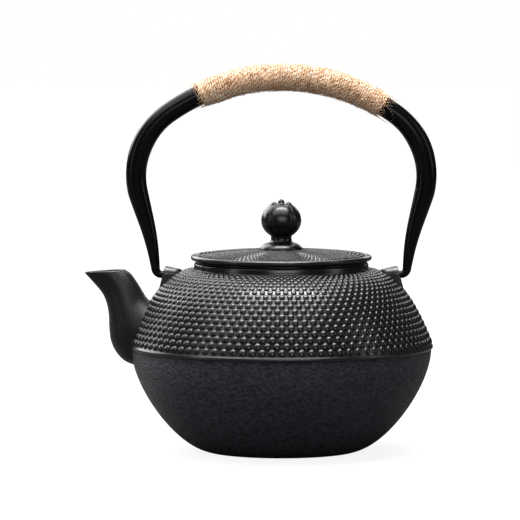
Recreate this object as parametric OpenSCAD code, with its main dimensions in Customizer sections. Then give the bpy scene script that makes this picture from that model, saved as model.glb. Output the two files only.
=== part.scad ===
/* [Vessel] */
// radius of the flat base the pot stands on, mm
base_r = 42; // [40:0.5:45]
// radius at the belt, the widest part of the vessel, mm
belt_r = 82.2; // [78:0.1:86]
// height of the belt rim above the base, mm
belt_z = 57.5; // [54:0.5:60]
// how far the belt rim stands proud of the wall, mm
belt_lip = 0.6; // [0.3:0.1:1]
// height of the shoulder where it meets the collar, mm
shoulder_z = 98.6; // [98:0.1:99.4]
// outer radius of the upright collar round the mouth, mm
collar_r = 47.6; // [46.5:0.1:49]
// height of the top of the collar, mm
collar_z = 102.4; // [101.5:0.1:103]
// radius of the mouth inside the collar, mm
mouth_r = 42.5; // [41.8:0.1:43]
// thickness of the cast wall, mm
wall_t = 3.5; // [3:0.1:4]

/* [Handle lugs] */
// radius of each round lug, mm
lug_r = 4.8; // [4.4:0.1:5.4]
// height of the hinge line through both lugs, mm
hinge_z = 96; // [95:0.1:97]
// distance from the pot's axis to the lug's outer face, mm
lug_face_x = 64.4; // [63.6:0.1:64.8]
// distance from the pot's axis to the blind end of the lug's hole, mm
lug_hole_x = 58; // [57.5:0.1:59]

/* [Handle] */
// diameter of the tube over the arch, mm
tube_d = 11; // [10:0.1:11.6]
// wall thickness of the hollow tube, mm
tube_wall = 1.2; // [1:0.1:1.6]
// diameter of the tube where its tapered end turns in, mm
hook_d = 4.8; // [4.4:0.1:5.2]
// diameter of the pin that turns in the lug, mm
pin_d = 4; // [3.6:0.1:4.2]
// running clearance all round the pin, mm
pin_play = 0.08; // [0.04:0.01:0.1]
// height of the tube's centre line at the top of the arch, mm
arch_z = 203.5; // [203:0.5:206]
// height at which the arch is widest, mm
arch_wide_z = 150; // [149:0.5:151]
// half width of the arch at its widest, to the centre line, mm
arch_half_w = 79.1; // [78.6:0.1:80]
// radius of the tighter curve at each side of the arch, mm
side_curve_r = 41.5; // [40:0.5:43]

/* [Twine wrap] */
// outer diameter of the twine wrapped round the tube, mm
wrap_d = 14.2; // [13:0.1:15]
// angle from the top of the arch to the wrap's end over the spout, degrees
wrap_a_spout = 25; // [22:0.1:30]
// angle from the top of the arch to the wrap's other end, degrees
wrap_a_back = 31.5; // [28:0.1:33]

/* [Spout] */
// thickness of the spout's wall, mm
spout_wall = 2.4; // [2:0.1:3]
// radius of the hole through the vessel wall into the spout, mm
spout_hole_r = 8.5; // [7:0.5:9]

/* [Lid] */
// radius of the lid's rounded rim, mm
lid_r = 49.4; // [48.5:0.1:50]
// height of the underside of the lid's rim, mm
lid_z = 103.9; // [103.8:0.05:104.1]
// radius of the smaller ring under the rim that sits on the collar, mm
lid_step_r = 46.8; // [46.2:0.1:47]
// height of the rounded rim, mm
lid_rim_h = 2.9; // [2.6:0.1:3.2]
// height of the lid's top beside the knob, mm
lid_top_z = 109.5; // [109:0.1:110]
// thickness of the lid's plate, mm
lid_t = 3.2; // [2.8:0.1:3.4]
// outer radius of the ring under the lid that drops into the infuser, mm
skirt_r = 38.4; // [37.5:0.1:38.6]
// how far that ring reaches below the rim, mm
skirt_h = 6; // [4:0.5:8]

/* [Knob] */
// radius of the ribbed ball, mm
ball_r = 10.95; // [10.4:0.05:11.4]
// height of the ball's centre, mm
ball_z = 125.4; // [125:0.1:126]
// number of ribs round the ball
rib_count = 5; // [4:1:10]
// depth of the grooves between the ribs, mm
groove_depth = 0.9; // [0.5:0.1:1.2]
// radius of the knob's foot on the lid, mm
foot_r = 11.5; // [10.5:0.1:12]
// radius of the neck under the ball, mm
neck_r = 5.6; // [5.2:0.1:6.4]
// number of beads in the ring on top
bead_count = 6; // [5:1:6]
// diameter of the rivet through the lid, mm
rivet_d = 5; // [4:0.1:5.6]

/* [Infuser] */
// outer radius of the flange that sits in the collar's recess, mm
flange_r = 44.2; // [43.6:0.1:44.3]
// thickness of the flange, mm
flange_t = 0.9; // [0.8:0.05:0.95]
// outer radius of the basket just below the flange, mm
basket_r = 40; // [39.6:0.1:40.2]
// outer radius of the basket at its floor, mm
basket_floor_r = 36.5; // [35:0.5:38]
// depth of the basket below the flange, mm
basket_h = 48; // [40:1:52]
// thickness of the basket's sheet, mm
sheet_t = 0.8; // [0.7:0.1:1]
// diameter of the strainer holes, mm
hole_d = 3.2; // [2.6:0.1:3.6]
// number of holes in each row round the wall
row_holes = 16; // [12:1:20]
// number of rows of holes up the wall
hole_rows = 3; // [2:1:4]

/* [Hidden] */
$fn = 96;

// small gap that keeps one seated piece just clear of the piece below it
seat_gap = 0.05;
// cutters reach this far past the faces they cut
over = 1;

function bez(p, t) =
    pow(1 - t, 3) * p[0] + 3 * t * pow(1 - t, 2) * p[1]
    + 3 * t * t * (1 - t) * p[2] + pow(t, 3) * p[3];
function curve(p, n) = [for (i = [0 : n]) bez(p, i / n)];

// belly and shoulder curves as [radius, height] control points
belly = [
    [base_r, 0], [base_r + 18, 4.6],
    [belt_r - 0.2, belt_z - 21], [belt_r - 0.2, belt_z - 1],
];
split_z = belt_z + 0.6;
shoulder = [
    [belt_r - 0.2, split_z], [belt_r - 10, belt_z + 26.3],
    [61.5, shoulder_z], [collar_r, shoulder_z],
];
belly_in = [
    [base_r - 1, wall_t + 0.5], [base_r + 14, wall_t + 4],
    [belt_r - wall_t - 0.2, belt_z - 19], [belt_r - wall_t - 0.2, split_z],
];
shoulder_in = [
    [belt_r - wall_t - 0.2, split_z], [belt_r - wall_t - 9.5, belt_z + 23],
    [60, shoulder_z - wall_t - 0.5], [mouth_r, shoulder_z - wall_t - 0.5],
];
curve_steps = 18;

// arch geometry: a top arc, two side arcs, tapered legs, hooks
side_cx = arch_half_w - side_curve_r;
arch_rise = arch_z - arch_wide_z;
top_curve_r =
    (side_cx * side_cx + arch_rise * arch_rise - side_curve_r * side_curve_r)
    / (2 * (arch_rise - side_curve_r));
top_cz = arch_z - top_curve_r;
join_a = atan2(side_cx, arch_wide_z - top_cz);
leg_a = 12.8;
hook_a = 6.8;
leg_top_x = side_cx + side_curve_r * cos(leg_a);
leg_top_z = arch_wide_z - side_curve_r * sin(leg_a);
hook_bend_r = 3.4;
leg_end_z = hinge_z + hook_bend_r * (1 - sin(hook_a));
leg_end_x = leg_top_x - (leg_top_z - leg_end_z) * tan(leg_a);
leg_len = (leg_top_z - leg_end_z) / cos(leg_a);
hook_end_x = leg_end_x - hook_bend_r * cos(hook_a);
// the leg bows in towards the pot, most just below its middle, and runs from
// the side arc's slope into the hook's without a kink
bow_p = 1.3;
leg_bow = leg_len * tan(leg_a - hook_a) / (PI * bow_p);
function bow_at(s) = leg_bow * sin(180 * pow(s, bow_p));
function bow_turn(s) =
    atan(leg_bow * PI * bow_p * pow(s, bow_p - 1) * cos(180 * pow(s, bow_p)) / leg_len);
pin_r = pin_d / 2;
tube_r = tube_d / 2;
wrap_r = wrap_d / 2;
wrap_fit = 0.03;

// spout stations: [lower x, lower z, upper x, upper z, half width, lip point]
spout_stations = [
    [87.6, 50.6, 73.8, 83.6, 14.2, 0],
    [90.4, 53.7, 74.3, 84.4, 13.3, 0],
    [92.4, 57.7, 74.9, 85.4, 12.5, 0],
    [93.6, 62.3, 75.5, 86.5, 11.7, 0],
    [94.0, 67.4, 76.2, 87.8, 11.0, 0],
    [94.1, 72.6, 77.1, 89.3, 10.3, 0],
    [94.7, 77.9, 78.2, 91.1, 9.6, 0.05],
    [96.3, 82.9, 79.6, 93.2, 9.0, 0.12],
    [98.8, 87.3, 81.1, 95.3, 8.4, 0.22],
    [102.6, 91.8, 82.6, 97.0, 7.9, 0.34],
    [107.2, 96.8, 84.2, 98.2, 7.4, 0.45],
];
// where the spout grows out of the vessel: low and high ends, half width
root_low_z = 46.4;
root_high_z = 82.6;
root_half_w = 15.4;
root_gap = 0.05;
ring_n = 36;

// outer radius of the vessel at a height, from its own curves
wall_table = [for (p = concat(curve(belly, curve_steps), curve(shoulder, curve_steps)))
    [p[1], p[0]]];
function vessel_r(z) = lookup(z, wall_table);

// ring of points where the spout meets the vessel, drawn in by the wall
function root_ring(inset) =
    let (mid_z = (root_low_z + root_high_z) / 2)
    let (half_h = (root_high_z - root_low_z) / 2 - inset)
    [for (i = [0 : ring_n - 1])
        let (a = 360 * i / ring_n, z = mid_z - half_h * cos(a))
        let (y = (root_half_w - inset) * sin(a), r = vessel_r(z) + root_gap)
        [-sqrt(r * r - y * y), y, z]];

// one closed ring of points round the spout, drawn in by the wall
function spout_ring(s, inset) =
    let (lo = [-s[0], s[1]], hi = [-s[2], s[3]])
    let (mid = (lo + hi) / 2, half = norm(lo - hi) / 2)
    let (u = (lo - hi) / norm(lo - hi), r = half - inset, w = s[4] - inset)
    [for (i = [0 : ring_n - 1])
        let (a = 360 * i / ring_n)
        let (point = 1 - s[5] * pow((1 + cos(a)) / 2, 2))
        [mid[0] + u[0] * r * cos(a), w * sin(a) * point, mid[1] + u[1] * r * cos(a)]];
function halfway(p, q) = [for (i = [0 : len(p) - 1]) (p[i] + q[i]) / 2];
function spout_skin(inset) =
    let (rings = [for (s = spout_stations) spout_ring(s, inset)])
    concat([root_ring(inset), halfway(root_ring(inset), rings[0])], rings);

// a sleeve between an outer and an inner set of rings, closed at both ends
module sleeve(outer, inner) {
    n = len(outer);
    m = len(outer[0]);
    rings = concat(outer, [for (k = [n - 1 : -1 : 0]) inner[k]]);
    total = len(rings);
    polyhedron(
        points = [for (r = rings) each r],
        faces = [for (k = [0 : total - 1], i = [0 : m - 1])
            let (j = (i + 1) % m, a = k * m, b = ((k + 1) % total) * m)
            each [[a + i, b + i, b + j], [a + i, b + j, a + j]]],
        convexity = 8
    );
}

// a solid skinned over a row of rings, closed by a flat cap at each end
module skin(rings) {
    n = len(rings);
    m = len(rings[0]);
    polyhedron(
        points = [for (r = rings) each r],
        faces = concat(
            [[for (i = [m - 1 : -1 : 0]) i]],
            [for (k = [0 : n - 2], i = [0 : m - 1])
                let (j = (i + 1) % m, a = k * m, b = (k + 1) * m)
                each [[a + i, a + j, b + j], [a + i, b + j, b + i]]],
            [[for (i = [0 : m - 1]) (n - 1) * m + i]]
        ),
        convexity = 8
    );
}

// half of the handle's centre line, top of the arch to the hook's end, as
// [x, z, direction of travel in degrees below the +X axis]
top_steps = 12;
side_steps = 16;
leg_steps = 8;
hook_steps = 7;
half_line = concat(
    [for (i = [0 : top_steps])
        let (a = join_a * i / top_steps)
        [top_curve_r * sin(a), top_cz + top_curve_r * cos(a), a]],
    [for (i = [1 : side_steps])
        let (a = join_a + (90 + leg_a - join_a) * i / side_steps)
        [side_cx + side_curve_r * sin(a), arch_wide_z + side_curve_r * cos(a), a]],
    [for (i = [1 : leg_steps])
        let (s = i / leg_steps, d = leg_len * s, b = bow_at(s))
        [
            leg_top_x - d * sin(leg_a) - b * cos(leg_a),
            leg_top_z - d * cos(leg_a) + b * sin(leg_a),
            90 + leg_a + bow_turn(s)
        ]],
    [for (i = [1 : hook_steps])
        let (a = 90 + hook_a + (90 - hook_a) * i / hook_steps)
        [hook_end_x + hook_bend_r * sin(a), hinge_z + hook_bend_r * (1 + cos(a)), a]]
);
leg_first = top_steps + side_steps;
leg_last = leg_first + leg_steps;
// radius of the tube at each point of the half line
half_r = [for (i = [0 : len(half_line) - 1])
    let (share = min(1, max(0, i - leg_first) / leg_steps))
    tube_r + (hook_d / 2 - tube_r) * share];
tube_n = 24;
function tube_ring(p, r, side) =
    [for (i = [0 : tube_n - 1])
        let (a = 360 * i / tube_n, d = p[2])
        [side * (p[0] + r * cos(a) * sin(d)), r * sin(a), p[1] + r * cos(a) * cos(d)]];
// rings from the -X end up over the arch to the +X end
function handle_rings(inset, last) = concat(
    [for (i = [last : -1 : 1]) tube_ring(half_line[i], half_r[i] - inset, -1)],
    [for (i = [0 : last]) tube_ring(half_line[i], half_r[i] - inset, 1)]
);

// the infuser's flange rests on a ledge let into the collar
ledge_z = collar_z - 1.2;
flange_z = ledge_z + seat_gap;
flange_top_z = flange_z + flange_t;
basket_floor_z = flange_z - basket_h;
// knob heights: the foot rests on the lid, the rivet closes under it
foot_z = lid_top_z + seat_gap;
plate_low_z = lid_top_z - lid_t;
washer_t = 1.2;
washer_r = 7;
rivet_head_h = 2.2;
rivet_head_r = 4.6;
rivet_r = rivet_d / 2;
rivet_play = 0.08;
flower_z = ball_z + ball_r - 1.8;

// everything inside the shoulder's outer skin, a solid plug
module shoulder_plug() {
    rotate_extrude()
        polygon(concat([[0, split_z]], curve(shoulder, curve_steps), [[0, shoulder_z]]));
}

// the belt's rim is left off where the spout grows out of the wall
module belt_gap() {
    intersection() {
        difference() {
            translate([0, 0, belt_z - 1])
                cylinder(r = belt_r + 3, h = 2);
            translate([0, 0, belt_z - 1 - over])
                cylinder(r = belt_r - 0.19, h = 2 + 2 * over);
        }
        translate([-2 * belt_r, -root_half_w - 0.4, belt_z - 2])
            cube([2 * belt_r, 2 * root_half_w + 0.8, 4]);
    }
}

module lug_holes() {
    for (s = [-1, 1])
        translate([s * lug_hole_x, 0, hinge_z])
            rotate([0, s * 90, 0])
                cylinder(r = pin_r + pin_play, h = lug_face_x, $fn = 48);
}

module spout_passage() {
    rotate([0, -90, 0])
        translate([68, 0, 60])
            cylinder(r = spout_hole_r, h = 40);
}

module vessel_bowl() {
    lip_r = belt_r + belt_lip;
    color("#2c2b2f")
        difference() {
            rotate_extrude()
                polygon(concat(
                    [[0, 0]],
                    curve(belly, curve_steps),
                    [[lip_r, belt_z - 0.4], [lip_r, belt_z + 0.2], [belt_r - 0.2, split_z]],
                    [for (i = [curve_steps : -1 : 0]) curve(belly_in, curve_steps)[i]],
                    [[0, wall_t + 0.5]]
                ));
            belt_gap();
        }
}

module vessel_shoulder() {
    soft = 0.6;
    recess_r = 44.6;
    color("#2c2b2f")
        difference() {
            rotate_extrude()
                polygon(concat(
                    curve(shoulder, curve_steps),
                    [
                        [collar_r, collar_z - soft], [collar_r - soft, collar_z],
                        [recess_r, collar_z], [recess_r, ledge_z], [mouth_r, ledge_z]
                    ],
                    [for (i = [curve_steps : -1 : 0]) curve(shoulder_in, curve_steps)[i]]
                ));
            lug_holes();
            spout_passage();
        }
}

module lug() {
    root_x = 54;
    foot_x = lug_face_x + 2.6;
    foot_low_z = hinge_z - 9;
    difference() {
        union() {
            translate([root_x, 0, hinge_z])
                rotate([0, 90, 0])
                    cylinder(r1 = lug_r - 1.8, r2 = lug_r, h = lug_face_x - root_x);
            translate([0, lug_r - 0.6, 0])
                rotate([90, 0, 0])
                    linear_extrude(height = 2 * (lug_r - 0.6))
                        polygon([
                            [root_x + 4, hinge_z - 2], [lug_face_x, hinge_z],
                            [foot_x, foot_low_z], [root_x + 4, foot_low_z]
                        ]);
        }
        shoulder_plug();
        translate([lug_hole_x, 0, hinge_z])
            rotate([0, 90, 0])
                cylinder(r = pin_r + pin_play, h = lug_face_x, $fn = 48);
    }
}

module lug_back_side() {
    color("#2c2b2f")
        lug();
}

module lug_spout_side() {
    color("#2c2b2f")
        mirror([1, 0, 0])
            lug();
}

module spout() {
    color("#242427")
        sleeve(spout_skin(0), spout_skin(spout_wall));
}

module arc_tube(r, turn_r, from_a, to_a) {
    rotate([90, 0, 0])
        rotate([0, 0, from_a])
            rotate_extrude(angle = to_a - from_a)
                translate([turn_r, 0])
                    circle(r = r, $fn = 48);
}

module hinge_pin() {
    translate([lug_hole_x + 0.6, 0, hinge_z])
        rotate([0, 90, 0])
            cylinder(r = pin_r, h = hook_end_x - lug_hole_x + 0.6, $fn = 48);
}

module handle_tube() {
    color("#1d1d1f")
        union() {
            difference() {
                skin(handle_rings(0, len(half_line) - 1));
                skin(handle_rings(tube_wall, leg_last - 2));
            }
            hinge_pin();
            mirror([1, 0, 0])
                hinge_pin();
        }
}

module twine_wrap() {
    color("#b08d62")
        translate([0, 0, top_cz])
            difference() {
                arc_tube(wrap_r, top_curve_r, 90 - wrap_a_back, 90 + wrap_a_spout);
                arc_tube(tube_r + wrap_fit, top_curve_r, 80 - wrap_a_back, 100 + wrap_a_spout);
            }
}

module lid_plate() {
    seat_z = collar_z + seat_gap;
    rim_low = lid_z;
    rim_top = lid_z + lid_rim_h;
    color("#2c2b2f")
        difference() {
            rotate_extrude()
                polygon([
                    [0, lid_top_z], [foot_r, lid_top_z],
                    [20, lid_top_z - 0.6], [30, lid_top_z - 1.5],
                    [38, lid_top_z - 2.3], [46, rim_top - 0.4],
                    [47, rim_top], [lid_r - 0.9, rim_top - 0.2],
                    [lid_r - 0.2, rim_top - 0.9], [lid_r, rim_top - 1.6],
                    [lid_r - 0.2, rim_low + 0.7], [lid_r - 0.9, rim_low],
                    [lid_step_r - 0.8, rim_low], [lid_step_r - 0.8, rim_low - 0.4],
                    [lid_step_r - 0.2, rim_low - 0.5], [lid_step_r, rim_low - 0.8],
                    [lid_step_r - 0.2, seat_z + 0.3], [lid_step_r - 0.7, seat_z],
                    [skirt_r, seat_z], [skirt_r, lid_z - skirt_h],
                    [skirt_r - 2.6, lid_z - skirt_h], [skirt_r - 2.6, rim_low - 0.3],
                    [28, plate_low_z - 0.9], [16, plate_low_z], [0, plate_low_z]
                ]);
            translate([0, 0, plate_low_z - over])
                cylinder(r = rivet_r + rivet_play, h = lid_t + 2 * over, $fn = 48);
        }
}

module knob_casting() {
    first_groove_a = -51;
    flare = curve([[foot_r, foot_z + 0.3], [foot_r - 0.9, foot_z + 1.8],
        [neck_r + 2, foot_z + 3.4], [neck_r, foot_z + 3.9]], 8);
    color("#1d1d1f")
        difference() {
            union() {
                difference() {
                    translate([0, 0, ball_z])
                        sphere(r = ball_r);
                    for (k = [0 : rib_count - 1])
                        translate([0, 0, ball_z])
                            rotate([0, 0, first_groove_a + k * 360 / rib_count])
                                arc_tube(groove_depth + 0.5, ball_r + 0.5, -75, 75);
                    translate([0, 0, flower_z])
                        cylinder(r = ball_r, h = ball_r);
                }
                rotate_extrude()
                    polygon(concat(
                        [[0, foot_z], [foot_r, foot_z]],
                        flare,
                        [[neck_r, ball_z - 6], [0, ball_z - 6]]
                    ));
                translate([0, 0, flower_z + 0.6])
                    sphere(r = 2.6, $fn = 32);
                for (k = [0 : bead_count - 1])
                    rotate([0, 0, k * 360 / bead_count])
                        translate([4.7, 0, flower_z - 0.6])
                            sphere(r = 2.3, $fn = 32);
            }
            translate([0, 0, foot_z - over])
                cylinder(r = rivet_r, h = 10 + over, $fn = 48);
        }
}

module knob_rivet() {
    washer_low_z = plate_low_z - seat_gap - washer_t;
    color("#3a3a3d")
        union() {
            translate([0, 0, washer_low_z])
                cylinder(r = rivet_r, h = foot_z + 10 - washer_low_z, $fn = 48);
            rotate_extrude()
                polygon([
                    [0, washer_low_z], [rivet_head_r, washer_low_z],
                    [rivet_head_r - 0.4, washer_low_z - 1],
                    [rivet_head_r - 1.8, washer_low_z - rivet_head_h],
                    [0, washer_low_z - rivet_head_h]
                ]);
        }
}

module rivet_washer() {
    color("#8d8f92")
        translate([0, 0, plate_low_z - seat_gap - washer_t])
            difference() {
                cylinder(r = washer_r, h = washer_t);
                translate([0, 0, -over])
                    cylinder(r = rivet_r, h = washer_t + 2 * over, $fn = 48);
            }
}

module infuser_flange() {
    roll_r = flange_t / 2;
    color("#b9bbbd")
        rotate_extrude()
            union() {
                translate([basket_r, flange_z])
                    square([flange_r - roll_r - basket_r, flange_t]);
                translate([flange_r - roll_r, flange_z + roll_r])
                    circle(r = roll_r, $fn = 24);
            }
}

module infuser_basket() {
    row_gap = (basket_h - 16) / (hole_rows - 1);
    color("#b9bbbd")
        difference() {
            translate([0, 0, basket_floor_z])
                cylinder(r1 = basket_floor_r, r2 = basket_r, h = flange_top_z - basket_floor_z);
            translate([0, 0, basket_floor_z + sheet_t])
                cylinder(
                    r1 = basket_floor_r - sheet_t,
                    r2 = basket_r - sheet_t,
                    h = flange_top_z - basket_floor_z - sheet_t + 0.001
                );
            for (j = [0 : hole_rows - 1])
                for (i = [0 : row_holes - 1])
                    rotate([0, 0, (i + (j % 2) / 2) * 360 / row_holes])
                        translate([basket_floor_r - 3, 0, basket_floor_z + 8 + j * row_gap])
                            rotate([0, 90, 0])
                                cylinder(d = hole_d, h = 8, $fn = 24);
            for (ring = [1 : 2])
                for (i = [0 : 6 * ring - 1])
                    rotate([0, 0, i * 60 / ring])
                        translate([ring * 12, 0, basket_floor_z - over])
                            cylinder(d = hole_d, h = sheet_t + 2 * over, $fn = 24);
        }
}

vessel_bowl();
vessel_shoulder();
spout();
lug_spout_side();
lug_back_side();
handle_tube();
twine_wrap();
lid_plate();
knob_casting();
knob_rivet();
rivet_washer();
infuser_flange();
infuser_basket();
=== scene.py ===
import bmesh
import bpy
import numpy as np
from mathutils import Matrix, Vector


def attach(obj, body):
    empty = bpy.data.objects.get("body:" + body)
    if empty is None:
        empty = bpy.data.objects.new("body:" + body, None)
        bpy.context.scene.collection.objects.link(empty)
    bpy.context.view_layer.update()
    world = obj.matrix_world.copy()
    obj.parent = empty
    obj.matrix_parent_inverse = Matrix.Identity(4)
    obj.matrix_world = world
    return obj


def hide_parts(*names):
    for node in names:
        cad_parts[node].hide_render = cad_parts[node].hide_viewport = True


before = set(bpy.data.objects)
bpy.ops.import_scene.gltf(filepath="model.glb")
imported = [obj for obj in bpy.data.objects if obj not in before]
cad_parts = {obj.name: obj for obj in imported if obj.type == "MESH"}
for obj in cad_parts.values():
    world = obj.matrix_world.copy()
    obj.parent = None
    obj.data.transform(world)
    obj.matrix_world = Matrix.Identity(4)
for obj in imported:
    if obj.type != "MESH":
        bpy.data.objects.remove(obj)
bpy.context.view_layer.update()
MM = 0.001
rng = np.random.default_rng(7)


# ---------------------------------------------------------------- meshes
def make_piece(name, points, faces, body, material, slot, replaces=(), uv=None):
    """Builds one smooth-shaded mesh from arrays of points in millimetres and of
    faces, merges the points that share a place, as at a pole, and sets it to
    ride a CAD body in place of some CAD nodes. Texture places, if given, are
    one for each corner of each face."""
    mesh = bpy.data.meshes.new(name)
    points = np.asarray(points, float).reshape(-1, 3) * MM
    faces = np.asarray(faces, np.int32)
    sides = faces.shape[1]
    mesh.vertices.add(len(points))
    mesh.vertices.foreach_set("co", points.ravel())
    mesh.loops.add(faces.size)
    mesh.loops.foreach_set("vertex_index", faces.ravel())
    mesh.polygons.add(len(faces))
    mesh.polygons.foreach_set("loop_start", np.arange(len(faces), dtype=np.int32) * sides)
    mesh.polygons.foreach_set("use_smooth", np.ones(len(faces), bool))
    if uv is not None:
        layer = mesh.uv_layers.new(name="UVMap")
        layer.data.foreach_set("uv", np.asarray(uv, float).ravel())
    mesh.update(calc_edges=True)
    shell = bmesh.new()
    shell.from_mesh(mesh)
    bmesh.ops.remove_doubles(shell, verts=shell.verts, dist=1e-7)
    shell.to_mesh(mesh)
    shell.free()
    piece = bpy.data.objects.new(name, mesh)
    bpy.context.scene.collection.objects.link(piece)
    mesh.materials.append(material)
    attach(piece, body)
    if replaces:
        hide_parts(*replaces)
    return piece


def grid_faces(rows, columns, wrap_rows=False):
    """Quads between neighbouring rings of points: rows rings of columns points,
    each ring closed on itself, the rows closed too if asked."""
    last = rows if wrap_rows else rows - 1
    k = np.arange(last)[:, None]
    i = np.arange(columns)[None, :]
    a = k * columns + i
    b = k * columns + (i + 1) % columns
    c = (k + 1) % rows * columns + (i + 1) % columns
    d = (k + 1) % rows * columns + i
    return np.stack([a, b, c, d], -1).reshape(-1, 4)


def bezier(points, n):
    """n + 1 points along the cubic curve of four control points."""
    t = np.linspace(0, 1, n + 1)[:, None]
    p = np.asarray(points, float)
    return (
        (1 - t) ** 3 * p[0] + 3 * t * (1 - t) ** 2 * p[1] + 3 * t**2 * (1 - t) * p[2] + t**3 * p[3]
    )


def through(points, n):
    """A smooth line of n points through the given ones: each span is the cubic
    whose end slopes run parallel to the neighbours' chord."""
    p = np.asarray(points, float)
    p = np.vstack([2 * p[0] - p[1], p, 2 * p[-1] - p[-2]])
    t = np.linspace(0, len(p) - 3 - 1e-9, n)
    i = t.astype(int)
    f = (t - i)[:, None]
    a, b, c, d = p[i], p[i + 1], p[i + 2], p[i + 3]
    return 0.5 * (
        2 * b + (c - a) * f + (2 * a - 5 * b + 4 * c - d) * f**2 + (3 * b - a - 3 * c + d) * f**3
    )


def resample(points, n):
    """n points evenly spaced along a line of points."""
    p = np.asarray(points, float)
    d = np.r_[0, np.cumsum(np.linalg.norm(np.diff(p, axis=0), axis=1))]
    s = np.linspace(0, d[-1], n)
    return np.stack([np.interp(s, d, p[:, k]) for k in range(p.shape[1])], -1)


def turned(profile, columns):
    """Rings of points made by turning a profile of (radius, height) about the
    upright axis. A radius of nothing closes a pole."""
    profile = np.asarray(profile, float)
    angle = np.arange(columns) * 2 * np.pi / columns
    r = profile[:, :1]
    return np.stack(
        [r * np.cos(angle), r * np.sin(angle), np.repeat(profile[:, 1:2], columns, 1)], -1
    )


def turned_piece(name, profile, columns, *rest, **more):
    """A turned piece whose profile starts at the axis below and ends at the axis
    above, or closes on itself."""
    closed = more.pop("closed", False)
    rings = turned(profile, columns)
    return make_piece(
        name, rings, grid_faces(len(profile), columns, closed), *rest, **more
    )


def studs(line, rows, first, dots, width, height, sides, lats):
    """Staggered rows of round studs on a surface turned from a profile. Rows
    shrink with the radius: the row count grows as the integral of distance
    over radius. A stud is half an ellipsoid sunk a little into the surface,
    width its diameter over the spacing in its row, with rings of points at
    the given latitudes. Returns points by row, stud, ring and side."""
    step = np.r_[0, np.linalg.norm(np.diff(line, axis=0), axis=1)]
    climb = np.cumsum(step / line[:, 0])
    slope = np.gradient(line, axis=0)
    slope /= np.linalg.norm(slope, axis=1)[:, None]
    share = (np.arange(rows) + first) / rows * climb[-1]
    r, z, slope_r, slope_z = (
        np.interp(share, climb, values)[:, None, None] for values in (*line.T, *slope.T)
    )
    angle = (np.arange(dots)[None] + 0.5 * (np.arange(rows)[:, None] % 2)) * 2 * np.pi / dots
    zero = 0 * angle
    radial = np.stack([np.cos(angle), np.sin(angle), zero], -1)
    around = np.stack([-np.sin(angle), np.cos(angle), zero], -1)
    upright = np.array([0.0, 0.0, 1.0])
    centre = (r * radial + z * upright)[:, :, None, None]
    uphill = (slope_r * radial + slope_z * upright)[:, :, None, None]
    out = (slope_z * radial - slope_r * upright)[:, :, None, None]
    around = around[:, :, None, None]
    lat = np.radians(lats)[:, None, None]
    reach = np.cos(lat)
    reach[[0, -1]] = 0
    turn = (np.arange(sides) * 2 * np.pi / sides)[:, None]
    half = (width * np.pi / dots * r)[..., None, None]
    tall = height * (r / line[0, 0])[..., None, None]
    return (
        centre
        + half * reach * (np.cos(turn) * around + np.sin(turn) * uphill)
        + tall * np.sin(lat) * out
    )


def stud_piece(name, points, *rest):
    """One piece of many studs, from their points by row, stud, ring and side."""
    rings, sides = points.shape[2:4]
    one = grid_faces(rings, sides)
    count = points.shape[0] * points.shape[1]
    faces = (one[None] + np.arange(count)[:, None, None] * rings * sides).reshape(-1, 4)
    return make_piece(name, points, faces, *rest)


# ------------------------------------------------------------- materials
def linear(hex_colour):
    """An sRGB hex colour as linear red, green, blue, alpha."""
    c = np.array([int(hex_colour[i : i + 2], 16) for i in (1, 3, 5)]) / 255
    c = np.where(c <= 0.04045, c / 12.92, ((c + 0.055) / 1.055) ** 2.4)
    return (*c.tolist(), 1.0)


def add(material, kind, links=None, **settings):
    """Adds a node, sets its inputs or properties by name, and links sockets."""
    tree = material.node_tree
    node = tree.nodes.new(kind)
    for key, value in settings.items():
        label = key.replace("_", " ")
        if label in node.inputs:
            node.inputs[label].default_value = value
        else:
            setattr(node, key, value)
    for key, source in (links or {}).items():
        tree.links.new(source, node.inputs[key])
    return node


def new_material(name, **values):
    """A material with one principled shader; returns it and the shader."""
    material = bpy.data.materials.new(name)
    material.use_nodes = True
    shader = material.node_tree.nodes["Principled BSDF"]
    for key, value in values.items():
        shader.inputs[key.replace("_", " ")].default_value = value
    return material, shader


def object_place(material):
    return add(material, "ShaderNodeTexCoord").outputs["Object"]


def ramp(material, source, stops):
    """A colour ramp through (position, hex colour) stops."""
    node = add(material, "ShaderNodeValToRGB", {"Fac": source})
    elements = node.color_ramp.elements
    while len(elements) < len(stops):
        elements.new(0.5)
    for element, (place, colour) in zip(elements, stops):
        element.position = place
        element.color = linear(colour)
    return node.outputs["Color"]


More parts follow.
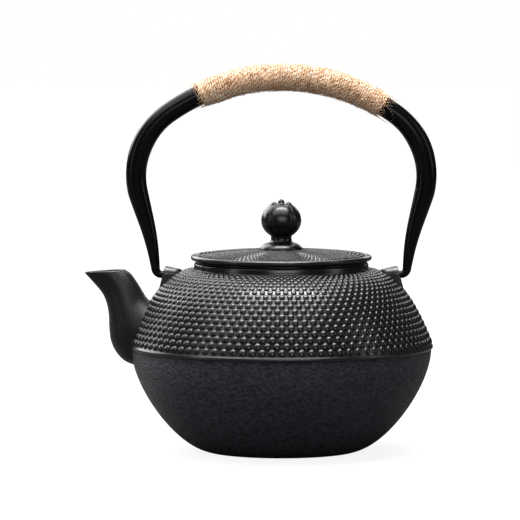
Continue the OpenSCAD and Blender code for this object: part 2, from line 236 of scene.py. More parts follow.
def cast_iron(name, dark, light, rough, grain, depth, gloss):
    """Cast iron under a thin matt black lacquer. The sand of the mould leaves a
    leathery skin of shallow dimples about two millimetres across, which breaks
    a highlight into small flecks; the lacquer is a little glossier on top of
    the dimples than in them. The colour runs from dark to light with the
    height of the skin, so the raised parts carry painted highlight flecks."""
    material, shader = new_material(name, Metallic=0.0, Specular_IOR_Level=gloss)
    place = object_place(material)
    drawn = add(material, "ShaderNodeMapping", {"Vector": place})
    drawn.inputs["Scale"].default_value = (1.0, 1.0, 1.7)
    place = drawn.outputs["Vector"]
    coarse = add(
        material, "ShaderNodeTexNoise", {"Vector": place},
        Scale=1000 / grain, Detail=3.0, Roughness=0.55, Distortion=0.6,
    )
    fine = add(
        material, "ShaderNodeTexNoise", {"Vector": place},
        Scale=1000 / (grain * 0.22), Detail=2.0,
    )
    mix = add(
        material, "ShaderNodeMath",
        {0: fine.outputs["Fac"], 2: coarse.outputs["Fac"]},
        operation="MULTIPLY_ADD",
    )
    mix.inputs[1].default_value = 0.25
    bump = add(
        material, "ShaderNodeBump", {"Height": mix.outputs[0]},
        Strength=1.0, Distance=depth * MM,
    )
    # painted highlight: the raised parts of the skin are coloured lighter
    tone = ramp(material, coarse.outputs["Fac"], [(0.4, dark), (0.62, light)])
    roughness = add(
        material, "ShaderNodeMapRange", {"Value": fine.outputs["Fac"]},
        To_Min=rough - 0.05, To_Max=rough + 0.07,
    )
    links = material.node_tree.links
    links.new(tone, shader.inputs["Base Color"])
    links.new(roughness.outputs["Result"], shader.inputs["Roughness"])
    links.new(bump.outputs["Normal"], shader.inputs["Normal"])
    return material


# the belly: strongest skin, dark charcoal with a trace of violet, with painted highlight flecks in a
# lighter grey on the raised skin
belly_iron = cast_iron("belly_iron", "#18171C", "#413F4B", 0.44, 2.1, 3.0, 0.32)
# the dotted band and the lid: filed smooth between the dots
band_iron = cast_iron("band_iron", "#0F0F0F", "#151515", 0.24, 1.0, 0.02, 0.5)
# the dots themselves: worn a little shinier than the ground between them
stud_iron = cast_iron("stud_iron", "#070707", "#0A0A0A", 0.2, 1.0, 0.01, 0.45)
# the spout: filed smooth before lacquering, so soft broad sheens and some grain
smooth_iron = cast_iron("smooth_iron", "#070708", "#0E0E10", 0.34, 1.1, 0.16, 0.32)
# the lugs: coloured a little lighter and glossier than the spout, a painted highlight for the
# brightly lit ears
lug_iron = cast_iron("lug_iron", "#141415", "#1B1B1D", 0.27, 1.0, 0.03, 0.6)
# knob: the glossiest casting, handled and polished
knob_iron = cast_iron("knob_iron", "#050506", "#080809", 0.26, 1.4, 0.02, 0.38)


def black_tube_finish():
    """Steel tube under satin black stove enamel. The coat has a faint orange
    peel, so long highlights stay whole but waver softly at their edges."""
    material, shader = new_material(
        "black_tube", Metallic=0.0, Roughness=0.22, Specular_IOR_Level=0.14,
        Base_Color=linear("#060607"),
    )
    noise = add(
        material, "ShaderNodeTexNoise", {"Vector": object_place(material)},
        Scale=400.0, Detail=2.0,
    )
    bump = add(
        material, "ShaderNodeBump", {"Height": noise.outputs["Fac"]},
        Strength=1.0, Distance=0.006 * MM,
    )
    material.node_tree.links.new(bump.outputs["Normal"], shader.inputs["Normal"])
    return material


def stainless_finish():
    """Drawn stainless sheet with a fine turned grain: blurred grey mirror."""
    material, shader = new_material(
        "stainless", Metallic=1.0, Roughness=0.3, Base_Color=linear("#C3C5C8")
    )
    noise = add(
        material, "ShaderNodeTexNoise", {"Vector": object_place(material)},
        Scale=900.0, Detail=2.0,
    )
    roughness = add(
        material, "ShaderNodeMapRange", {"Value": noise.outputs["Fac"]},
        To_Min=0.22, To_Max=0.4,
    )
    material.node_tree.links.new(roughness.outputs["Result"], shader.inputs["Roughness"])
    return material


def twine_finish():
    """Two-ply jute twine. The plies twist round each other, so each turn shows
    slanting grooves; dry plant fibre scatters light with a pale sheen and no
    gloss. The colour follows the twist and the fibre's own blotchy tone, with
    painted shade, dark brown, in the grooves and painted highlight, near white,
    on the crowns. The mesh's own coordinates run along the twine (u, in
    millimetres) and round it (v, 0 to 1)."""
    material, shader = new_material("jute_twine", Metallic=0.0, Roughness=0.85)
    shader.inputs["Sheen Weight"].default_value = 0.35
    shader.inputs["Sheen Roughness"].default_value = 0.5
    uv = add(material, "ShaderNodeUVMap").outputs["UV"]
    split = add(material, "ShaderNodeSeparateXYZ", {"Vector": uv})
    turn = add(material, "ShaderNodeMath", {0: split.outputs["X"]}, operation="MULTIPLY")
    turn.inputs[1].default_value = 0.2
    phase = add(
        material, "ShaderNodeMath",
        {0: split.outputs["Y"], 1: turn.outputs[0]}, operation="ADD",
    )
    angle = add(material, "ShaderNodeMath", {0: phase.outputs[0]}, operation="MULTIPLY")
    angle.inputs[1].default_value = 4 * np.pi
    ply = add(material, "ShaderNodeMath", {0: angle.outputs[0]}, operation="COSINE")
    soft_ply = add(material, "ShaderNodeMath", {0: ply.outputs[0]}, operation="MULTIPLY")
    soft_ply.inputs[1].default_value = 0.35
    lie = add(material, "ShaderNodeMath", {0: split.outputs["Y"]}, operation="MULTIPLY")
    lie.inputs[1].default_value = 2 * np.pi
    across = [
        add(material, "ShaderNodeMath", {0: lie.outputs[0]}, operation=kind).outputs[0]
        for kind in ("COSINE", "SINE")
    ]
    strand = add(material, "ShaderNodeCombineXYZ", {"Y": across[0], "Z": across[1]})
    drawn = add(material, "ShaderNodeMath", {0: split.outputs["X"]}, operation="MULTIPLY")
    drawn.inputs[1].default_value = 0.22
    material.node_tree.links.new(drawn.outputs[0], strand.inputs["X"])
    hairs = add(
        material, "ShaderNodeTexNoise", {"Vector": strand.outputs[0]},
        Scale=2.6, Detail=3.0, Roughness=0.65,
    )
    blotch = add(
        material, "ShaderNodeTexNoise", {"Vector": object_place(material)},
        Scale=260.0, Detail=2.0,
    )
    height = add(
        material, "ShaderNodeMath",
        {0: hairs.outputs["Fac"], 2: soft_ply.outputs[0]}, operation="MULTIPLY_ADD",
    )
    height.inputs[1].default_value = 2.4
    bump = add(
        material, "ShaderNodeBump", {"Height": height.outputs[0]},
        Strength=1.0, Distance=0.25 * MM,
    )
    # painted shade and highlight: the colour follows the height of ply and fibre, darker in the
    # grooves and lighter on the crowns, plus the blotch noise's own tone
    shade = add(
        material, "ShaderNodeMath",
        {0: height.outputs[0], 1: blotch.outputs["Fac"]}, operation="ADD",
    )
    shade_range = add(
        material, "ShaderNodeMapRange", {"Value": shade.outputs[0]},
        From_Min=0.7, From_Max=2.7,
    )
    tone = ramp(
        material, shade_range.outputs["Result"],
        [(0.0, "#4A2410"), (0.3, "#B27648"), (0.6, "#EED0AE"), (1.0, "#FFFCF6")],
    )
    links = material.node_tree.links
    links.new(tone, shader.inputs["Base Color"])
    links.new(bump.outputs["Normal"], shader.inputs["Normal"])
    return material


def fibre_finish():
    """Loose jute fibres: thin, dry and pale straw, letting some light through."""
    material, shader = new_material(
        "jute_fibre", Metallic=0.0, Roughness=0.7, Base_Color=linear("#DDBD90")
    )
    noise = add(
        material, "ShaderNodeTexNoise", {"Vector": object_place(material)},
        Scale=300.0, Detail=2.0,
    )
    tone = ramp(
        material, noise.outputs["Fac"], [(0.3, "#AC7A4C"), (0.5, "#D5AC80"), (0.7, "#F2DEC2")]
    )
    material.node_tree.links.new(tone, shader.inputs["Base Color"])
    return material


def painted_shade_jute():
    """Painted shade: the jute deep between the turns is coloured dark brown, as little light gets
    there.
    """
    return new_material(
        "jute_painted_shade", Metallic=0.0, Roughness=0.9, Base_Color=linear("#5C351C")
    )[0]


tube_black = black_tube_finish()
stainless = stainless_finish()
twine = twine_finish()
fibre = fibre_finish()

# ------------------------------------------------------------ the vessel
BASE_R, BELT_R, BELT_Z = 42.0, 82.0, 57.5
SHOULDER_Z, COLLAR_R, COLLAR_Z = 98.6, 47.6, 102.4
WALL = 3.5
VESSEL_COLUMNS = 288
belly = bezier(
    [[BASE_R, 0], [BASE_R + 18, 4.6], [BELT_R, BELT_Z - 21], [BELT_R, BELT_Z - 1.6]], 40
)
shoulder = bezier(
    [[BELT_R, BELT_Z + 1], [72.2, 83.8], [61.5, SHOULDER_Z], [COLLAR_R, SHOULDER_Z]], 60
)


def bowl_profile():
    """The lower casting's outline from the axis under the base, up the belly to
    the belt, then down inside to the axis."""
    inner_belly = bezier(
        [[41, 4], [57, 7.5], [BELT_R - WALL, BELT_Z - 19], [BELT_R - WALL, BELT_Z]], 36
    )[::-1]
    return np.vstack([
        [[0, 0.5], [BASE_R - 4, 0.5], [BASE_R - 3, 0]], belly, [[BELT_R - 0.5, BELT_Z]],
        inner_belly, [[30, 4], [0, 4]],
    ])


def shoulder_profile():
    """The upper casting's outline: the belt's rounded rim, up the shoulder, over
    the collar, down inside and back under the rim."""
    rim = np.array([
        [-0.1, -1.9], [0.35, -1.7], [0.75, -1.3], [0.9, -0.8], [0.88, -0.3], [0.75, 0.05],
        [0.1, 0.75],
    ]) + [BELT_R, BELT_Z]
    collar = [
        [COLLAR_R + 1.2, SHOULDER_Z - 0.1], [COLLAR_R + 0.4, SHOULDER_Z + 0.1],
        [COLLAR_R + 0.1, SHOULDER_Z + 0.5], [COLLAR_R, SHOULDER_Z + 1.2],
        [COLLAR_R, COLLAR_Z - 0.8], [COLLAR_R - 0.25, COLLAR_Z - 0.2], [COLLAR_R - 0.8, COLLAR_Z],
        [45.0, COLLAR_Z], [44.6, COLLAR_Z - 0.3], [44.6, 101.25], [44.5, 101.2], [42.9, 101.2],
        [42.5, 100.9], [42.5, SHOULDER_Z - 3.4], [42.9, SHOULDER_Z - 4],
    ]
    inner_shoulder = bezier(
        [[BELT_R - WALL, BELT_Z + 1], [69.5, 80.5], [60, SHOULDER_Z - 4], [43.5, SHOULDER_Z - 4]], 30
    )[::-1]
    return np.vstack([
        rim, shoulder[:-1], collar, inner_shoulder, [[BELT_R - WALL, BELT_Z - 1.9]],
    ])


turned_piece(
    "bowl_casting", bowl_profile(), VESSEL_COLUMNS, "pot", belly_iron, "cast_iron_body",
    replaces=["vessel_bowl"],
)
turned_piece(
    "shoulder_casting", shoulder_profile(), VESSEL_COLUMNS, "pot", band_iron,
    "cast_iron_body", replaces=["vessel_shoulder"], closed=True,
)

# the dots: how many to a row, how many rows, height, width over spacing
DOTS, ROWS, DOT_H, DOT_WIDTH = 96, 19, 0.95, 0.8
# where the first row lies, in rows above the belt
FIRST_ROW = 0.55
DOT_LATS = [-14, -14, 10, 32, 54, 74, 90]
dots = studs(
    resample(shoulder, 2000), ROWS, FIRST_ROW, DOTS, DOT_WIDTH, DOT_H, 14, DOT_LATS
)
for label, rows in (("low", slice(0, 10)), ("high", slice(10, ROWS))):
    stud_piece(f"dots_{label}", dots[rows], "pot", stud_iron, "cast_iron_body")

# -------------------------------------------------------------- the lugs
HINGE_Z = 96.0
LUG_DROP = 9.0


def lug(side):
    """A round-topped ear: a U-shaped outline carried along X from inside the
    shoulder to a slanted outer face, with a rounded edge there."""
    n = 48
    t = np.linspace(0, 1, n, endpoint=False)
    arc = np.linspace(0, np.pi, n // 2, endpoint=False)
    top = np.stack([np.cos(arc), np.sin(arc)], -1)
    down = np.stack([-np.ones(n // 4), -np.linspace(0, 1, n // 4, endpoint=False)], -1)
    up = np.stack([np.ones(n // 4), -np.linspace(1, 0, n // 4, endpoint=False)], -1)
    outline = np.vstack([top, down, up])
    stations = [
        (54.5, 3.0, 0.0), (58.0, 3.7, 0.0), (61.0, 4.3, 0.0), (63.0, 4.7, 0.0),
        (64.0, 4.8, 0.0), (64.35, 4.7, 0.1), (64.6, 4.4, 0.3), (64.7, 3.9, 0.8),
        (64.7, 0.0, 4.4),
    ]
    rings = []
    for x, radius, rise in stations:
        y = outline[:, 0] * radius
        drop = max(LUG_DROP - rise, 0.05)
        z = outline[:, 1] * np.where(outline[:, 1] > 0, radius, drop)
        slant = np.clip((x - 58) / 6.5, 0, 1) * (-z) * 0.27
        rings.append(np.stack([x + slant, y, HINGE_Z + z], -1))
    rings = np.array(rings) * [side, 1, 1]
    start = rings[0].mean(0) + 0 * rings[0]
    rings = np.concatenate([start[None], rings])
    return rings if side < 0 else rings[:, ::-1]


for side, label in ((-1, "spout"), (1, "back")):
    rings = lug(side)
    make_piece(
        f"lug_{label}", rings[:, ::-1], grid_faces(len(rings), rings.shape[1]), "pot",
        lug_iron, "cast_iron_smooth", replaces=[f"lug_{label}_side"],
    )

# ------------------------------------------------------------- the spout
SPOUT_COLUMNS, CHANNEL_WALL = 96, 2.2
# stations as lower x, lower z, upper x, upper z, half width, pointed lip
SPOUT = [
    [76.0, 46.0, 70.0, 80.2, 16.0, 0],
    [81.4, 46.8, 72.4, 82.2, 15.0, 0],
    [86.4, 49.3, 73.5, 83.5, 14.2, 0],
    [90.6, 54.1, 74.4, 84.7, 13.2, 0],
    [93.2, 60.3, 75.3, 86.2, 12.0, 0],
    [94.0, 67.4, 76.3, 87.9, 11.0, 0],
    [94.2, 73.6, 77.5, 89.9, 10.2, 0.02],
    [95.2, 79.7, 79.0, 92.3, 9.4, 0.08],
    [97.6, 85.6, 80.7, 94.8, 8.6, 0.2],
    [102.0, 91.0, 82.6, 97.0, 7.9, 0.34],
    [107.3, 96.9, 84.6, 98.3, 7.4, 0.46],
]


def spout_rings(inset, table):
    """Rings round the spout: each is an ellipse from its lower to its upper
    point, as wide as given, narrowed towards the pouring lip."""
    a = np.arange(SPOUT_COLUMNS) * 2 * np.pi / SPOUT_COLUMNS
    low = table[:, 0:2] * [-1, 1]
    high = table[:, 2:4] * [-1, 1]
    mid = (low + high) / 2
    half = np.linalg.norm(low - high, axis=1)
    u = (low - high) / half[:, None]
    r = (half / 2 - inset)[:, None]
    w = (table[:, 4] - inset)[:, None]
    point = 1 - table[:, 5:6] * ((1 + np.cos(a)) / 2) ** 2
    x = mid[:, :1] + u[:, :1] * r * np.cos(a)
    z = mid[:, 1:] + u[:, 1:] * r * np.cos(a)
    return np.stack([x, w * np.sin(a) * point, z], -1)


def spout_surface():
    """Outer skin up to the mouth, over a rounded lip and down the channel."""
    table = through(SPOUT, 70)
    outer = spout_rings(0.0, table)
    inner = spout_rings(CHANNEL_WALL, table)[::-1]
    lip_lift = np.array([-0.2, 0, 0.5])
    edge = [
        spout_rings(inset, table[-1:])[0] + lip_lift * share
        for inset, share in ((0.25, 0.7), (0.9, 1.0), (1.7, 0.7))
    ]
    return np.concatenate([outer, np.array(edge), inner])


skin = spout_surface()
make_piece(
    "spout_casting", skin, grid_faces(len(skin), SPOUT_COLUMNS, True), "pot",
    smooth_iron, "cast_iron_smooth", replaces=["spout"],
)

# --------------------------------------------------------------- the lid
LID_TOP = 109.5
LID_DOTS, LID_ROWS, LID_FIRST_ROW, LID_DOT_WIDTH = 100, 25, 0.3, 0.66
LID_DOT_LATS = [-16, -16, 18, 50, 90]


def lid_profile():
    """The lid from the rivet hole under it, out round the seat ring and rounded
    rim, then over the top to the knob's foot, and down the hole."""
    under = [
        [2.6, 106.35], [16, 106.3], [28, 105.4], [34.5, 104.0], [35.6, 103.2], [35.8, 98.4],
        [36.2, 97.9], [38.0, 97.9], [38.4, 98.4], [38.4, 102.1], [38.8, 102.45],
        [45.9, 102.45], [46.5, 102.55], [46.8, 102.8], [46.8, 103.15], [46.5, 103.4],
        [46.0, 103.5], [45.8, 103.7], [46.2, 103.9], [48.4, 103.92], [49.0, 104.2],
        [49.35, 104.8], [49.4, 105.3], [49.3, 105.9], [48.9, 106.4], [48.3, 106.7],
        [47.7, 106.75], [47.1, 106.55], [46.6, 106.3], [46.2, 106.15], [45.8, 106.15],
    ]
    return np.vstack([under, lid_top(60), [[2.6, LID_TOP]]])


def lid_top(samples):
    """The lid's gently coned top, from just inside the rim to the knob's foot."""
    r = np.linspace(45.4, 11.6, samples)
    return np.stack([r, LID_TOP - 3.15 * ((r - 11.6) / 34) ** 1.3], -1)


turned_piece(
    "lid_casting", lid_profile(), VESSEL_COLUMNS, "lid", band_iron, "cast_iron_body",
    replaces=["lid_plate"], closed=True,
)
lid_dots = studs(
    lid_top(2000), LID_ROWS, LID_FIRST_ROW, LID_DOTS, LID_DOT_WIDTH, DOT_H, 10, LID_DOT_LATS
)
stud_piece("dots_lid", lid_dots, "lid", stud_iron, "cast_iron_body")

# -------------------------------------------------------------- the knob
BALL_Z, BALL_R, LOBES = 125.4, 10.95, 5
KNOB_COLUMNS, BEAD_RINGS, BEAD_COLUMNS = 240, 25, 32


def knob_surface():
    """Domed foot, short neck and a ball of five soft lobes. A narrow groove runs
    between lobes, fading towards the neck and the flat top, and a faint ridge
    marks the mould's joint round the middle."""
    foot = [
        [0, 109.0], [11.3, 109.0], [11.7, 109.3], [11.7, 110.0], [11.3, 110.9], [10.6, 111.8],
        [9.6, 112.6], [8.4, 113.2], [7.1, 113.6], [6.2, 114.0], [5.8, 114.5], [5.65, 115.6],
        [5.65, 116.7], [5.8, 117.1],
    ]
    lat = np.linspace(-58, 56, 60)
    lat_a = np.radians(lat)
    squash = np.where(lat < 0, 0.88, 0.965)
    ball = np.stack(
        [BALL_R * np.cos(lat_a), BALL_Z + BALL_R * squash * np.sin(lat_a)], -1
    )
    top = [[5.2, 134.55], [4.0, 134.6], [2.0, 134.5], [0, 134.5]]
    profile = np.vstack([foot, ball, top])
    rings = turned(profile, KNOB_COLUMNS)
    angle = np.arange(KNOB_COLUMNS) * 2 * np.pi / KNOB_COLUMNS + np.radians(51)
    off = (angle * LOBES / (2 * np.pi) + 0.5) % 1 - 0.5
    away = np.abs(off) * 2 * np.pi / LOBES * BALL_R
    groove = -1.05 * np.exp(-((away / 0.62) ** 2)) - 0.25 * np.exp(-((away / 1.8) ** 2))
    lobe = 0.12 * np.cos(2 * np.pi * (off + 0.5)) * -1
    height = np.r_[np.full(len(foot), -99.0), lat, np.full(len(top), 99.0)]
    fade = np.clip((54 - np.abs(height)) / 14, 0, 1)
    ridge = 0.07 * np.exp(-((height / 0.9) ** 2))
    scale = 1 + ((groove + lobe)[None, :] * fade[:, None] + ridge[:, None]) / BALL_R
    rings[:, :, :2] *= scale[:, :, None]
    return rings


knob = knob_surface()
make_piece(
    "knob_body", knob, grid_faces(len(knob), KNOB_COLUMNS), "knob", knob_iron,
    "cast_iron_smooth", replaces=["knob_casting"],
)


def bead(place, radius, squash=1.0):
    """A small ball of rings from its lowest to its highest point."""
    lat = np.radians(np.linspace(-90, 90, BEAD_RINGS))
    outline = np.stack([radius * np.cos(lat), radius * squash * np.sin(lat)], -1)
    return turned(outline, BEAD_COLUMNS) + place


beads = [bead([0, 0, 135.3], 1.8)]
for k in range(6):
    around = np.radians(-90 + 60 * k)
    beads.append(bead([4.6 * np.cos(around), 4.6 * np.sin(around), 134.0], 1.75, 0.85))
rings = np.array(beads)
faces = np.concatenate([
    grid_faces(BEAD_RINGS, BEAD_COLUMNS) + k * BEAD_RINGS * BEAD_COLUMNS
    for k in range(len(beads))
])
make_piece("knob_beads", rings, faces, "knob", knob_iron, "cast_iron_smooth")

# ------------------------------------------------------------ the handle
ARCH_Z, WIDE_Z, HALF_W = 203.5, 150.0, 79.1
SIDE_R, LEG_A, HOOK_A, HOOK_R = 41.5, 12.8, 6.8, 3.4
TUBE_R, TUBE_COLUMNS = 5.5, 48
SIDE_CX, RISE = HALF_W - SIDE_R, ARCH_Z - WIDE_Z
# the top arc that meets the side arcs without a kink
TOP_R = (SIDE_CX**2 + RISE**2 - SIDE_R**2) / (2 * (RISE - SIDE_R))
TOP_CZ = ARCH_Z - TOP_R
JOIN_A = np.degrees(np.arctan2(SIDE_CX, WIDE_Z - TOP_CZ))


def half_line():
    """The handle's centre line in its own plane, from the top of the arch down
    the +X side: a wide arc, a tighter arc, a leg that bows in by the sine of its
    own length, a small hook and the pin, as (x, z, tube radius)."""
    a = np.radians(np.linspace(0, JOIN_A, 60, endpoint=False))
    top = np.stack([TOP_R * np.sin(a), TOP_CZ + TOP_R * np.cos(a), TUBE_R + 0 * a], -1)
    a = np.radians(np.linspace(JOIN_A, 90 + LEG_A, 70, endpoint=False))
    swell = TUBE_R + 0.3 * np.exp(-(((np.degrees(a) - 66) / 16) ** 2))
    side = np.stack([SIDE_CX + SIDE_R * np.sin(a), WIDE_Z + SIDE_R * np.cos(a), swell], -1)
    x0 = SIDE_CX + SIDE_R * np.cos(np.radians(LEG_A))
    z0 = WIDE_Z - SIDE_R * np.sin(np.radians(LEG_A))
    slope, hook_slope = np.radians(LEG_A), np.radians(HOOK_A)
    length = (z0 - HINGE_Z - HOOK_R * (1 - np.sin(hook_slope))) / np.cos(slope)
    share = np.linspace(0, 1, 60, endpoint=False)
    thin = TUBE_R - 3.1 * share**1.08
    bow = length * np.tan(slope - hook_slope) / (np.pi * 1.3) * np.sin(np.pi * share**1.3)
    leg = np.stack([
        x0 - length * share * np.sin(slope) - bow * np.cos(slope),
        z0 - length * share * np.cos(slope) + bow * np.sin(slope),
        thin,
    ], -1)
    hook_x = x0 - length * np.sin(slope) - HOOK_R * np.cos(hook_slope)
    hook_z = HINGE_Z + HOOK_R
    a = np.linspace(np.pi / 2 + hook_slope, np.pi, 24)
    hook = np.stack([
        hook_x + HOOK_R * np.sin(a), hook_z + HOOK_R * np.cos(a), np.linspace(2.4, 2.05, 24),
    ], -1)
    pin = [
        [hook_x - 0.5, HINGE_Z, 2.0], [58.9, HINGE_Z, 2.0], [58.6, HINGE_Z, 1.8],
        [58.6, HINGE_Z, 0],
    ]
    return np.vstack([top, side, leg, hook, pin])


def tube_rings(line, columns):
    """Rings square to a line of (x, y, z, radius) that lies near the XZ plane."""
    p, r = line[:, :3], line[:, 3]
    along = np.gradient(p, axis=0)
    along /= np.linalg.norm(along, axis=1)[:, None] + 1e-12
    side = np.array([0.0, 1.0, 0.0])
    out = np.cross(side, along)
    out /= np.linalg.norm(out, axis=1)[:, None] + 1e-12
    a = np.arange(columns) * 2 * np.pi / columns
    return p[:, None] + r[:, None, None] * (
        np.cos(a)[None, :, None] * out[:, None] + np.sin(a)[None, :, None] * side
    )


half = half_line()
whole = np.vstack([half[::-1] * [-1, 1, 1], half[1:]])
line = np.stack([whole[:, 0], 0 * whole[:, 0], whole[:, 1], whole[:, 2]], -1)
# the last points share one place, so give them their direction by a hair
line[:2, 0] += [0.02, 0.01]
line[-2:, 0] -= [0.01, 0.02]
tube = tube_rings(line, TUBE_COLUMNS)
make_piece(
    "handle_bar", tube[:, ::-1], grid_faces(len(tube), TUBE_COLUMNS), "handle", tube_black,
    "black_steel", replaces=["handle_tube"],
)

# -------------------------------------------------------------- the wrap
WRAP_FROM, WRAP_TO = -25.0, 31.5
TURNS, TWINE_COLUMNS = 82, 10
WRAP_LENGTH = 105.4


def wrap_frame(angle):
    """Centre, outward and along directions of the arch at an angle from its top."""
    s, c = np.sin(angle), np.cos(angle)
    zero = 0 * s
    centre = np.stack([TOP_R * s, zero, TOP_CZ + TOP_R * c], -1)
    out = np.stack([s, zero, c], -1)
    along = np.stack([c, zero, -s], -1)
    return centre, out, along


def wrap_radius(share):
    """Distance from the arch's centre line to the twine's own centre, fuller in
    the middle of the wrap."""
    return 6.12 + 0.58 * np.sin(np.pi * np.clip(share, 0, 1)) ** 0.6


def twine_line(samples):
    """The twine's path: turn after turn round the tube, each laid beside the one
    before with small wanders in pitch and tension, and a lump under the end
    by the spout."""
    turn = np.linspace(0, TURNS, samples)
    share = turn / TURNS
    drift = np.cumsum(rng.normal(0, 0.12, TURNS + 1)) * 0.5
    wander = np.interp(turn, np.arange(TURNS + 1), drift)
    wander -= np.interp(share, [0, 1], [wander[0], wander[-1]])
    tension = np.interp(turn * 3, np.arange(TURNS * 3 + 1), rng.normal(0, 0.13, TURNS * 3 + 1))
    laid = 0.008 + 0.984 * (turn + wander) / TURNS
    centre, out, _ = wrap_frame(np.radians(WRAP_FROM + (WRAP_TO - WRAP_FROM) * laid))
    around = 2 * np.pi * turn
    lump = 1.0 * np.exp(-((share - 0.1) / 0.09) ** 2) * np.clip(-np.cos(around), 0, 1)
    r = (wrap_radius(share) + tension + lump)[:, None]
    side = np.array([0.0, 1.0, 0.0])
    up = np.cos(around)[:, None] * out + np.sin(around)[:, None] * side
    return centre + r * up, up


def free_tube(points, up, radius, columns):
    """Rings round any smooth line, kept square to it, up side outward."""
    along = np.gradient(points, axis=0)
    along /= np.linalg.norm(along, axis=-1, keepdims=True)
    side = np.cross(along, up)
    side /= np.linalg.norm(side, axis=-1, keepdims=True)
    up = np.cross(side, along)
    a = np.arange(columns) * 2 * np.pi / columns
    return points[:, None] + radius * (
        np.cos(a)[None, :, None] * up[:, None] + np.sin(a)[None, :, None] * side[:, None]
    )


def corner_uv(length, columns):
    """Texture places for the quads of a tube: distance along it in millimetres
    and share of the way round, the last column running on to a whole turn."""
    along = np.stack([length[:-1], length[:-1], length[1:], length[1:]], -1)
    around = np.arange(columns)[:, None] / columns + np.array([0, 1, 1, 0]) / columns
    u = np.repeat(along[:, None], columns, 1)
    v = np.repeat(around[None], len(length) - 1, 0)
    return np.stack([u, v], -1)


path, up = twine_line(TURNS * 30)
step = np.linalg.norm(np.diff(path, axis=0), axis=1)
length = np.r_[0, np.cumsum(step)]
# the twine itself is uneven, thicker and thinner every few millimetres
uneven = np.interp(length, np.arange(0, 5000, 4.0), rng.normal(0, 1, 1250)).clip(-1.6, 1.6)
thick = 0.63 + 0.05 * uneven
coil = free_tube(path, up, thick[:, None, None], TWINE_COLUMNS)
ends = [coil[:1] * 0 + path[:1, None], coil[-1:] * 0 + path[-1:, None]]
coil = np.concatenate([ends[0], coil, ends[1]])
length = np.r_[length[0], length, length[-1]]
make_piece(
    "twine_coil", coil[:, ::-1], grid_faces(len(coil), TWINE_COLUMNS), "handle", twine,
    "jute_twine", replaces=["twine_wrap"], uv=corner_uv(length, TWINE_COLUMNS),
)


def sleeve_under():
    """A first layer of jute round the tube, seen only between the turns, where
    its dark brown colour is painted shade: a closed sleeve of small uneven ridges."""
    angle = np.radians(np.linspace(WRAP_FROM + 0.3, WRAP_TO - 0.3, 220))
    centre, out, _ = wrap_frame(angle)
    side = np.array([0.0, 1.0, 0.0])
    a = np.arange(40) * 2 * np.pi / 40
    ring = np.cos(a)[None, :, None] * out[:, None] + np.sin(a)[None, :, None] * side
    outer = centre[:, None] + (5.98 + 0.1 * np.sin(np.arange(220) * 2.1))[:, None, None] * ring
    inner = centre[:, None] + 5.53 * ring
    return np.concatenate([outer, inner[::-1]])


under = sleeve_under()
# the sleeve wears the painted shade material
make_piece(
    "wrap_core", under[:, ::-1], grid_faces(len(under), 40, True), "handle", painted_shade_jute(),
    "jute_twine",
)


def fuzz(count, reach, thick, seed, ends):
    """Loose fibres over the wrap. Each starts on the twine, wanders over the
    surface along a random smooth heading and lifts off it by a little; it is a
    three-sided thread of eight short lengths."""
    g = np.random.default_rng(seed)
    steps = 8
    start = g.uniform(0.0, 1.0, count)
    if ends:
        start = np.where(start < 0.35, g.uniform(0.0, 0.03, count), g.uniform(0.97, 1.0, count))
    around = g.uniform(0, 2 * np.pi, count)
    heading = g.normal(0, 1.0, count) + np.pi / 2 * g.choice([-1, 1], count)
    curl = g.normal(0, 1.3, count)
    reach_mm = g.gamma(3.0, reach / 3.0, count)
    t = np.linspace(0, 1, steps + 1)[None]
    way = heading[:, None] + curl[:, None] * t + 0.5 * np.sin(6 * t + heading[:, None])
    ds = reach_mm[:, None] / steps
    x = np.cumsum(np.cos(way) * ds, 1)
    y = np.cumsum(np.sin(way) * ds, 1)
    share = start[:, None] + x / WRAP_LENGTH
    share = np.clip(share, -0.055 if ends else -0.01, 1.075 if ends else 1.01)
    lift = 0.5 + g.gamma(1.3, 0.12, count)[:, None] + g.gamma(1.0, 0.22, count)[:, None] * t**2
    r = wrap_radius(share) + lift
    phi = around[:, None] + y / r
    angle = np.radians(WRAP_FROM + (WRAP_TO - WRAP_FROM) * share)
    centre, out, _ = wrap_frame(angle)
    side = np.array([0.0, 1.0, 0.0])
    p = centre + r[..., None] * (np.cos(phi)[..., None] * out + np.sin(phi)[..., None] * side)
    along = np.gradient(p, axis=1)
    along /= np.linalg.norm(along, axis=-1, keepdims=True) + 1e-9
    up = p - centre
    side = np.cross(along, up)
    side /= np.linalg.norm(side, axis=-1, keepdims=True) + 1e-9
    up = np.cross(side, along)
    own = g.uniform(0.6, 1.3, count)[:, None, None, None]
    size = thick * (1 - 0.75 * t**2)[..., None, None] * own
    a = (np.arange(3) * 2 * np.pi / 3)[:, None]
    rings = p[:, :, None] + size * (
        np.cos(a) * up[:, :, None] + np.sin(a) * side[:, :, None]
    )
    one = grid_faces(steps + 1, 3)
    faces = (one[None] + np.arange(count)[:, None, None] * (steps + 1) * 3).reshape(-1, 4)
    return rings[:, :, ::-1], faces


for name, count, reach, thick, seed, ends in (
    ("fuzz_close", 1900, 5.0, 0.085, 3, False),
    ("fuzz_loose", 700, 8.0, 0.07, 11, False),
    ("fuzz_ends", 110, 9.0, 0.075, 19, True),
):
    rings, faces = fuzz(count, reach, thick, seed, ends)
    make_piece(name, rings, faces, "handle", fibre, "jute_twine")

# ---------------------------------------------- pieces kept from the CAD
for node in ("infuser_flange", "infuser_basket", "rivet_washer"):
    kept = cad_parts[node]
    kept.data.materials.clear()
    kept.data.materials.append(stainless)
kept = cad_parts["knob_rivet"]
kept.data.materials.clear()
kept.data.materials.append(tube_black)

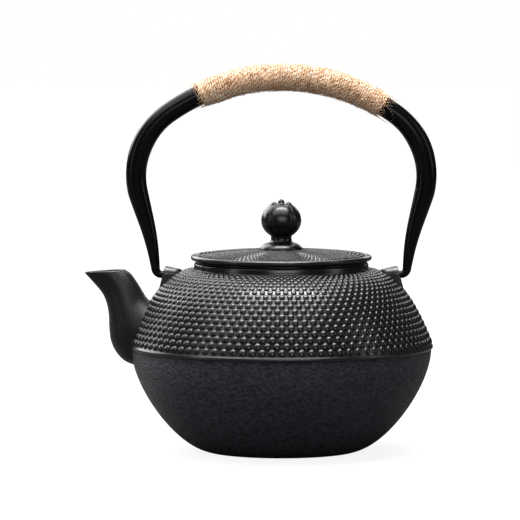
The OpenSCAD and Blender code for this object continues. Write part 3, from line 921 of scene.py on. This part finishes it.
# ------------------------------------------------------- studio and view
def paper_floor():
    """White backdrop paper that shows as white only through a painted glow, an
    emission that only the eye sees: a little weaker near the pot, where the
    lamps light the paper, and full away from it. Its own colour is a mid grey,
    painted shade that throws less light back onto the pot."""
    material, shader = new_material("paper_floor", Roughness=0.9, Base_Color=linear("#4C4C4C"))
    seen = add(material, "ShaderNodeLightPath").outputs["Is Camera Ray"]
    far = add(material, "ShaderNodeVectorMath", {0: object_place(material)}, operation="LENGTH")
    # painted glow, weaker near the pot and full away from it
    rise = add(
        material, "ShaderNodeMapRange", {"Value": far.outputs["Value"]},
        From_Min=0.08, From_Max=0.6, To_Min=0.88, To_Max=1.0,
    )
    glow = add(
        material, "ShaderNodeMath", {0: seen, 1: rise.outputs["Result"]}, operation="MULTIPLY"
    )
    shader.inputs["Emission Color"].default_value = (1, 1, 1, 1)
    material.node_tree.links.new(glow.outputs[0], shader.inputs["Emission Strength"])
    return material


floor_material = paper_floor()
floor_mesh = bpy.data.meshes.new("floor")
floor_mesh.from_pydata([(-6, -6, 0), (6, -6, 0), (6, 6, 0), (-6, 6, 0)], [], [(0, 1, 2, 3)])
floor_mesh.materials.append(floor_material)
floor = bpy.data.objects.new("floor", floor_mesh)
bpy.context.scene.collection.objects.link(floor)


def softbox(name, place, aim, width, height, watts):
    """A flat white lamp of the given size at a place, turned to face its aim."""
    lamp = bpy.data.lights.new(name, "AREA")
    lamp.shape = "RECTANGLE"
    lamp.size, lamp.size_y = width, height
    lamp.energy = watts
    holder = bpy.data.objects.new(name, lamp)
    holder.location = place
    holder.rotation_euler = (Vector(aim) - Vector(place)).to_track_quat("-Z", "Y").to_euler()
    bpy.context.scene.collection.objects.link(holder)


softbox("roof_box", (-0.3, 0.2, 1.25), (-0.3, 0.2, 0), 1.9, 2.4, 54)
softbox("strip_box", (0.0, -0.13, 1.2), (0.0, -0.13, 0), 0.85, 0.2, 20)
softbox("left_back_box", (-1.3, 1.4, 0.95), (0, 0, 0.1), 1.5, 1.1, 24)
softbox("back_box", (0, 1.6, 0.56), (0, 0, 0.1), 1.6, 0.26, 4)
softbox("front_box", (0.2, -2.7, 0.9), (0, 0, 0.08), 1.6, 0.7, 18)
softbox("left_box", (-1.1, -0.5, 0.5), (0, 0, 0.1), 0.12, 0.9, 1.5)
softbox("right_box", (1.1, -0.3, 0.5), (0, 0, 0.1), 0.3, 0.8, 1.5)

world = bpy.data.worlds.new("studio")
world.use_nodes = True
world.node_tree.nodes["Background"].inputs["Color"].default_value = (1, 1, 1, 1)
seen = add(world, "ShaderNodeLightPath").outputs["Is Camera Ray"]
strength = add(world, "ShaderNodeMapRange", {"Value": seen}, To_Min=0.04, To_Max=1.0)
world.node_tree.links.new(
    strength.outputs["Result"], world.node_tree.nodes["Background"].inputs["Strength"]
)
bpy.context.scene.world = world

# how much the view takes in across the pot's own plane, in millimetres
VIEW_WIDTH = 283.712
camera = bpy.data.cameras.new("camera")
camera.sensor_width = 36.0
eye = Vector((-0.0116, -2.3, 0.275))
aim = Vector((-0.0116, 0.0, 0.10386))
camera.lens = camera.sensor_width * (aim - eye).length / (VIEW_WIDTH * MM)
camera_object = bpy.data.objects.new("camera", camera)
camera_object.location = eye
camera_object.rotation_euler = (aim - eye).to_track_quat("-Z", "Y").to_euler()
bpy.context.scene.collection.objects.link(camera_object)
bpy.context.scene.camera = camera_object
bpy.context.scene.view_settings.view_transform = "Standard"
